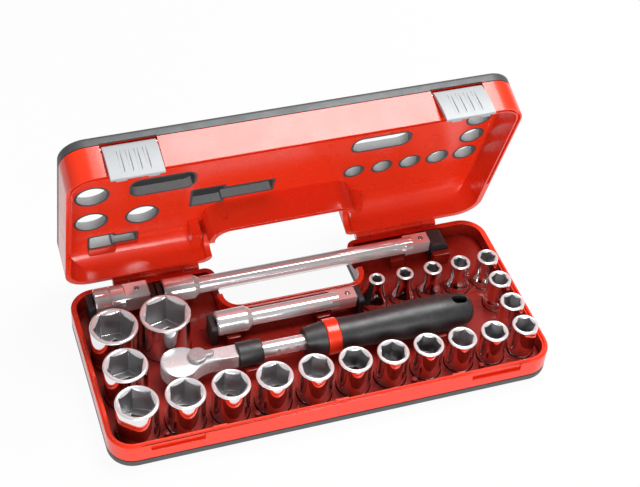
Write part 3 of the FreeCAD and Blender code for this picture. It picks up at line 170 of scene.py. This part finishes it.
class Finish:
    """A material with its shader, and the few nodes that its finish needs."""

    def __init__(self, name, colour, metallic, roughness):
        self.material = bpy.data.materials.new(name)
        self.material.use_nodes = True
        self.tree = self.material.node_tree
        self.shader = self.tree.nodes["Principled BSDF"]
        self.place = self.tree.nodes.new("ShaderNodeTexCoord")
        self.set("Base Color", colour)
        self.set("Metallic", metallic)
        self.set("Roughness", roughness)

    def set(self, socket, value):
        """A value that is the same all over the piece."""
        self.shader.inputs[socket].default_value = value

    def noise(self, scale, detail=3.0, stretch=(1.0, 1.0, 1.0)):
        """A noise over the piece, which may be stretched along an axis."""
        mapping = self.tree.nodes.new("ShaderNodeMapping")
        mapping.inputs["Scale"].default_value = stretch
        texture = self.tree.nodes.new("ShaderNodeTexNoise")
        texture.inputs["Scale"].default_value = scale
        texture.inputs["Detail"].default_value = detail
        self.tree.links.new(self.place.outputs["Object"], mapping.inputs["Vector"])
        self.tree.links.new(mapping.outputs["Vector"], texture.inputs["Vector"])
        return texture.outputs["Fac"]

    def cells(self, scale):
        """A grain of small cells over the piece."""
        texture = self.tree.nodes.new("ShaderNodeTexVoronoi")
        texture.inputs["Scale"].default_value = scale
        self.tree.links.new(self.place.outputs["Object"], texture.inputs["Vector"])
        return texture.outputs["Distance"]

    def vary_colour(self, pattern, first, second):
        """The base colour runs between two colours with a pattern."""
        ramp = self.tree.nodes.new("ShaderNodeValToRGB")
        ramp.color_ramp.elements[0].position = PATTERN_LOW
        ramp.color_ramp.elements[0].color = first
        ramp.color_ramp.elements[1].position = PATTERN_HIGH
        ramp.color_ramp.elements[1].color = second
        self.tree.links.new(pattern, ramp.inputs["Fac"])
        self.tree.links.new(ramp.outputs["Color"], self.shader.inputs["Base Color"])

    def vary_roughness(self, pattern, low, high):
        """The roughness runs between two values with a pattern."""
        span = self.tree.nodes.new("ShaderNodeMapRange")
        span.inputs["From Min"].default_value = PATTERN_LOW
        span.inputs["From Max"].default_value = PATTERN_HIGH
        span.inputs["To Min"].default_value = low
        span.inputs["To Max"].default_value = high
        self.tree.links.new(pattern, span.inputs["Value"])
        self.tree.links.new(span.outputs["Result"], self.shader.inputs["Roughness"])

    def grain(self, pattern, strength, depth):
        """A fine relief from a pattern."""
        bump = self.tree.nodes.new("ShaderNodeBump")
        bump.inputs["Strength"].default_value = strength
        bump.inputs["Distance"].default_value = depth
        self.tree.links.new(pattern, bump.inputs["Height"])
        self.tree.links.new(bump.outputs["Normal"], self.shader.inputs["Normal"])


def red_moulding(name, first, second):
    """Glossy red plastic with a fine moulded grain."""
    finish = Finish(name, first, metallic=0.0, roughness=0.3)
    finish.vary_colour(finish.noise(scale=9.0), first, second)
    finish.vary_roughness(finish.noise(scale=60.0), low=0.25, high=0.33)
    finish.grain(finish.noise(scale=2600.0, detail=2.0), strength=0.06, depth=0.05 * MM)
    finish.set("Specular IOR Level", 0.32)
    finish.set("Coat Weight", 0.4)
    finish.set("Coat Roughness", 0.14)
    return finish.material


def grey_skin(name, first, second):
    """Matt grey plastic with a spark-eroded grain."""
    finish = Finish(name, first, metallic=0.0, roughness=0.5)
    finish.vary_colour(finish.noise(scale=700.0), first, second)
    finish.vary_roughness(finish.noise(scale=90.0), low=0.42, high=0.54)
    finish.grain(finish.cells(scale=1500.0), strength=0.3, depth=0.08 * MM)
    return finish.material


def chrome(name, colour, smooth, rough):
    """Polished chrome with faint turning marks."""
    finish = Finish(name, colour, metallic=1.0, roughness=smooth)
    finish.vary_roughness(finish.noise(scale=140.0, detail=5.0), smooth, rough)
    marks = finish.noise(scale=900.0, detail=2.0, stretch=(1.0, 1.0, 3.0))
    finish.grain(marks, strength=0.012, depth=0.02 * MM)
    return finish.material


def chrome_with_painted_light(name, colour, metal_share, smooth, rough):
    """Chrome made partly diffuse, so that its colour paints highlights and reflections that the
    metal would show.
    """
    finish = Finish(name, colour, metallic=metal_share, roughness=smooth)
    finish.vary_roughness(finish.noise(scale=140.0, detail=5.0), smooth, rough)
    return finish.material


def satin_chrome():
    """The blasted inside of a socket."""
    finish = Finish("satin_chrome", SATIN, metallic=1.0, roughness=0.36)
    finish.vary_roughness(finish.noise(scale=500.0), low=0.32, high=0.42)
    finish.grain(finish.noise(scale=5200.0, detail=2.0), strength=0.18, depth=0.03 * MM)
    return finish.material


def latch_plastic():
    """Silver grey plastic with metal flakes."""
    finish = Finish("latch_plastic", LATCH_GREY, metallic=0.1, roughness=0.5)
    finish.set("Specular IOR Level", 0.3)
    finish.vary_colour(finish.noise(scale=1500.0), LATCH_GREY, LATCH_DARK)
    finish.grain(finish.noise(scale=1800.0), strength=0.06, depth=0.03 * MM)
    return finish.material


def black_rubber(name, smooth, rough, depth):
    """Black rubber or plastic with a fine skin."""
    finish = Finish(name, BLACK, metallic=0.0, roughness=smooth)
    finish.vary_colour(finish.noise(scale=220.0), BLACK, BLACK_PALE)
    finish.vary_roughness(finish.noise(scale=75.0), smooth, rough)
    finish.grain(finish.noise(scale=2400.0), strength=0.22, depth=depth)
    return finish.material


def floor_paper():
    """White paper that stays white behind the object and still takes its shadow."""
    material = bpy.data.materials.new("floor_paper")
    material.use_nodes = True
    tree = material.node_tree
    tree.nodes.clear()
    paper = tree.nodes.new("ShaderNodeBsdfDiffuse")
    paper.inputs["Color"].default_value = PAPER
    glow = tree.nodes.new("ShaderNodeEmission")
    glow.inputs["Strength"].default_value = FLOOR_GLOW
    path = tree.nodes.new("ShaderNodeLightPath")
    mirrored = tree.nodes.new("ShaderNodeMath")
    mirrored.operation = "MAXIMUM"
    tree.links.new(path.outputs["Is Glossy Ray"], mirrored.inputs[0])
    tree.links.new(path.outputs["Is Transmission Ray"], mirrored.inputs[1])
    seen = tree.nodes.new("ShaderNodeMath")
    seen.operation = "MAXIMUM"
    tree.links.new(path.outputs["Is Camera Ray"], seen.inputs[0])
    tree.links.new(mirrored.outputs["Value"], seen.inputs[1])
    share = tree.nodes.new("ShaderNodeMath")
    share.operation = "MULTIPLY"
    share.inputs[1].default_value = FLOOR_GLOW_SHARE
    tree.links.new(seen.outputs["Value"], share.inputs[0])
    mix = tree.nodes.new("ShaderNodeMixShader")
    tree.links.new(share.outputs["Value"], mix.inputs["Fac"])
    tree.links.new(paper.outputs["BSDF"], mix.inputs[1])
    tree.links.new(glow.outputs["Emission"], mix.inputs[2])
    out = tree.nodes.new("ShaderNodeOutputMaterial")
    tree.links.new(mix.outputs["Shader"], out.inputs["Surface"])
    return material


# Pieces that stand for the CAD nodes

def plain_copy(node):
    """A copy of a CAD node with its seams closed, which stands for the node."""
    bpy.ops.object.select_all(action="DESELECT")
    mesh = frame["nodes"][node].data.copy()
    piece = bpy.data.objects.new(node + "_piece", mesh)
    bpy.context.scene.collection.objects.link(piece)
    bpy.context.view_layer.objects.active = piece
    piece.select_set(True)
    bpy.ops.mesh.customdata_custom_splitnormals_clear()
    bpy.ops.object.mode_set(mode="EDIT")
    bpy.ops.mesh.select_all(action="SELECT")
    bpy.ops.mesh.remove_doubles(threshold=WELD)
    bpy.ops.object.mode_set(mode="OBJECT")
    bpy.ops.object.shade_smooth_by_angle(angle=SHARP_ANGLE)
    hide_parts(node)
    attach(piece, frame["nodes"][node]["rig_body"])
    return piece


def eased_copy(node, ease, steps=PLAIN_STEPS):
    """A copy of a CAD node with its sharp edges eased, which stands for the node."""
    piece = plain_copy(node)
    bpy.ops.object.mode_set(mode="EDIT")
    bpy.ops.mesh.select_all(action="SELECT")
    bpy.ops.mesh.dissolve_limited(angle_limit=FLAT_ANGLE)
    bpy.ops.object.mode_set(mode="OBJECT")
    bevel = piece.modifiers.new("ease", "BEVEL")
    bevel.width = ease
    bevel.segments = steps
    bevel.limit_method = "ANGLE"
    bevel.angle_limit = SHARP_ANGLE
    bevel.use_clamp_overlap = False
    bpy.ops.object.modifier_apply(modifier=bevel.name)
    bpy.ops.object.mode_set(mode="EDIT")
    bpy.ops.mesh.select_all(action="SELECT")
    bpy.ops.mesh.normals_make_consistent(inside=False)
    bpy.ops.object.mode_set(mode="OBJECT")
    bpy.ops.object.shade_smooth_by_angle(angle=SMOOTH_ANGLE)
    even = piece.modifiers.new("even", "WEIGHTED_NORMAL")
    even.keep_sharp = True
    bpy.ops.object.modifier_apply(modifier=even.name)
    return piece


def coat(piece, slot, *materials):
    """Gives a piece its materials; its slot is not used."""
    piece.data.materials.clear()
    for material in materials:
        piece.data.materials.append(material)
    for face in piece.data.polygons:
        face.material_index = 0


def finish_socket(piece, node):
    """The inside of a standing socket takes the second material, and its rim the third, pale as a
    painted highlight.
    """
    low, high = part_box(node)
    middle = (low + high) / 2
    bore = SOCKET_FLOOR_SHARE * (high.x - middle.x)
    for face in piece.data.polygons:
        if face.normal.z > RIM_TILT and face.center.z > high.z - RIM_DEPTH:
            face.material_index = 2
            continue
        outward = Vector((face.center.x - middle.x, face.center.y - middle.y))
        faces_in = face.normal.xy.dot(outward) < 0 and abs(face.normal.z) < UPWARD
        lies_deep = face.normal.z > UPWARD and face.center.z < high.z - SOCKET_FLOOR_DEPTH
        if faces_in or (lies_deep and outward.length < bore):
            face.material_index = 1


def paint_shade_inside(piece):
    """The inner faces of the base, below its rim, take the tray's darkened red as painted shade."""
    low, high = CAD_BOX
    for face in piece.data.polygons:
        inset = min(face.center.x - low.x, high.x - face.center.x, face.center.y - low.y)
        faces_in = face.normal.z > UPWARD or face.normal.xy.dot(face.center.xy) < 0
        if faces_in and inset > WALL_FACE and face.center.z < RIM_FOOT:
            face.material_index = 1


def paint_window_light_and_shade(piece):
    """The window walls that face up take a paler grey as painted light, and the blind floors black
    as painted shade.
    """
    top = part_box("lid_skin")[1].z
    inward = Vector((0.0, -math.sin(LID_OPEN), -math.cos(LID_OPEN)))
    panel = max(face.center.dot(inward) for face in piece.data.polygons)
    for face in piece.data.polygons:
        if face.normal.z > UPWARD and face.center.z < top - SKIN_STRIP:
            face.material_index = 1
        elif face.normal.dot(inward) > FACING and face.center.dot(inward) < panel - BLIND_DEPTH:
            face.material_index = 2


def dress_case(red):
    """The case: red mouldings, grey skins, black pads and silver latches."""
    coat(eased_copy("bar_holders", MOULDED_EASE), "red_moulding", red)
    for node in ("lid_shell", "lid_notch", "lid_panel"):
        coat(plain_copy(node), "red_moulding", red)
    # The tray, the cradles and the base's inner faces take a darkened red as painted shade
    tray = red_moulding("painted_shade_tray", SHADED_TRAY_RED, SHADED_TRAY_DEEP)
    for node in ("tool_tray", "tool_cradles"):
        coat(eased_copy(node, MOULDED_EASE), "red_moulding", tray)
    base = eased_copy("base_shell", MOULDED_EASE)
    coat(base, "red_moulding", red, tray)
    paint_shade_inside(base)
    skin = grey_skin("grey_skin", SKIN_GREY, SKIN_PALE)
    coat(plain_copy("base_skin"), "grey_skin", skin)
    lid = plain_copy("lid_skin")
    # Painted light on the window walls that face up, and painted shade on the blind floors
    lining = grey_skin("painted_light_lining", LIT_LINING_GREY, LIT_LINING_PALE)
    blind = grey_skin("painted_shade_floor", BLACK, BLACK_PALE)
    coat(lid, "grey_skin", skin, lining, blind)
    paint_window_light_and_shade(lid)
    pad = black_rubber("black_pad", smooth=0.5, rough=0.62, depth=0.06 * MM)
    for node in ("pads_long_bar", "pads_short_bar", "pads_adapter"):
        coat(eased_copy(node, RUBBER_EASE), "black_pad", pad)
    silver = latch_plastic()
    for node in ("latch_left", "latch_right"):
        coat(eased_copy(node, MOULDED_EASE), "latch_plastic", silver)


def dress_tools(red):
    """The tools: chrome sockets, bars and ratchet, black collar, sleeve and grip."""
    bright = chrome("polished_chrome", CHROME, smooth=0.05, rough=0.1)
    blasted = satin_chrome()
    # The socket rims are pale as a painted highlight
    pale = chrome_with_painted_light("chrome_with_painted_light", PAINTED_HIGHLIGHT_WHITE, metal_share=0.5, smooth=0.12, rough=0.2)
    sockets = [node for node in frame["nodes"] if node.startswith("socket_")]
    for node in sockets:
        low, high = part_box(node)
        ease = SOCKET_EASE + SOCKET_EASE_SHARE * (high.x - low.x)
        piece = eased_copy(node, ease, CHROME_STEPS)
        coat(piece, "chrome", bright, blasted, pale)
        finish_socket(piece, node)
    # The bars are pale as a painted highlight
    bar_highlight = chrome_with_painted_light("painted_highlight_bar_chrome", PAINTED_HIGHLIGHT_WHITE, metal_share=0.62, smooth=0.1, rough=0.15)
    for node in ("extension_long", "extension_short", "drive_adapter", "telescopic_shaft"):
        coat(plain_copy(node), "chrome", bar_highlight)
    # The ratchet head is pale as a painted reflection of the light above
    head_reflection = chrome_with_painted_light("painted_reflection_head_chrome", HEAD_REFLECTION_GREY, metal_share=0.25, smooth=0.22, rough=0.3)
    for node in ("ratchet_head", "ratchet_cover"):
        coat(eased_copy(node, CHROME_EASE, CHROME_STEPS), "chrome", head_reflection)
    # The lever is grey as a painted reflection
    grey = chrome_with_painted_light("painted_reflection_lever_chrome", LEVER_REFLECTION_GREY, metal_share=0.4, smooth=0.22, rough=0.3)
    coat(eased_copy("reverser_lever", CHROME_EASE, CHROME_STEPS), "chrome", grey)
    coat(eased_copy("ratchet_gear", CHROME_EASE), "chrome", bright)
    steel = chrome("plain_steel", STEEL, smooth=0.22, rough=0.34)
    for node in STEEL_NODES:
        coat(frame["nodes"][node], "steel", steel)
    plastic = black_rubber("black_plastic", smooth=0.38, rough=0.5, depth=0.03 * MM)
    coat(plain_copy("shaft_collar"), "black_plastic", plastic)
    coat(eased_copy("lock_sleeve", MOULDED_EASE), "black_plastic", plastic)
    coat(eased_copy("lock_ring", MOULDED_EASE), "red_ring", red)
    soft = black_rubber("black_grip", smooth=0.36, rough=0.46, depth=0.05 * MM)
    coat(eased_copy("ratchet_grip", MOULDED_EASE), "black_grip", soft)


# Floor, lights and camera

def floor():
    """A white paper floor under the case."""
    bpy.ops.object.select_all(action="DESELECT")
    bpy.ops.mesh.primitive_plane_add(size=FLOOR_SIZE)
    plane = bpy.context.object
    plane.name = "floor"
    plane.data.materials.append(floor_paper())


def softbox(name, place, target, width, length, watts):
    """A rectangular soft light that faces a point."""
    data = bpy.data.lights.new(name, "AREA")
    data.shape = "RECTANGLE"
    data.size = width
    data.size_y = length
    data.energy = watts
    lamp = bpy.data.objects.new(name, data)
    bpy.context.scene.collection.objects.link(lamp)
    lamp.location = place
    lamp.rotation_mode = "QUATERNION"
    lamp.rotation_quaternion = (Vector(target) - Vector(place)).to_track_quat("-Z", "Y")


def studio_light():
    """An even sky and two soft boxes."""
    world = bpy.data.worlds.new("studio")
    bpy.context.scene.world = world
    world.use_nodes = True
    sky = world.node_tree.nodes["Background"]
    sky.inputs["Color"].default_value = WHITE
    sky.inputs["Strength"].default_value = SKY_STRENGTH
    softbox("top", place=(0.47, 0.24, 1.5), target=(0.37, 0.2, 0.05),
            width=0.95, length=0.76, watts=32.0)
    softbox("front", place=(-0.35, -1.7, 0.7), target=(0.0, 0.1, 0.12),
            width=1.3, length=0.7, watts=30.0)


def camera():
    """A camera at the photograph's place and angle."""
    azimuth = math.radians(CAMERA_AZIMUTH)
    elevation = math.radians(CAMERA_ELEVATION)
    roll = math.radians(CAMERA_ROLL)
    back = Vector((math.sin(azimuth) * math.cos(elevation), -math.cos(azimuth) * math.cos(elevation),
                   math.sin(elevation)))
    right = Vector((math.cos(azimuth), math.sin(azimuth), 0.0))
    up = back.cross(right)
    turned_right = math.cos(roll) * right + math.sin(roll) * up
    turned_up = math.cos(roll) * up - math.sin(roll) * right
    data = bpy.data.cameras.new("camera")
    data.sensor_width = SENSOR
    data.lens = FOCAL_PIXELS * SENSOR / PHOTO_WIDTH
    viewer = bpy.data.objects.new("camera", data)
    bpy.context.scene.collection.objects.link(viewer)
    turn = Matrix((turned_right, turned_up, back)).transposed()
    viewer.matrix_world = Matrix.Translation(CAMERA_TARGET + CAMERA_DISTANCE * back) @ turn.to_4x4()
    bpy.context.scene.camera = viewer


red_plastic = red_moulding("red_moulding", RED, DEEP_RED)
dress_case(red_plastic)
dress_tools(red_plastic)
floor()
studio_light()
camera()
bpy.context.scene.view_settings.view_transform = "Standard"
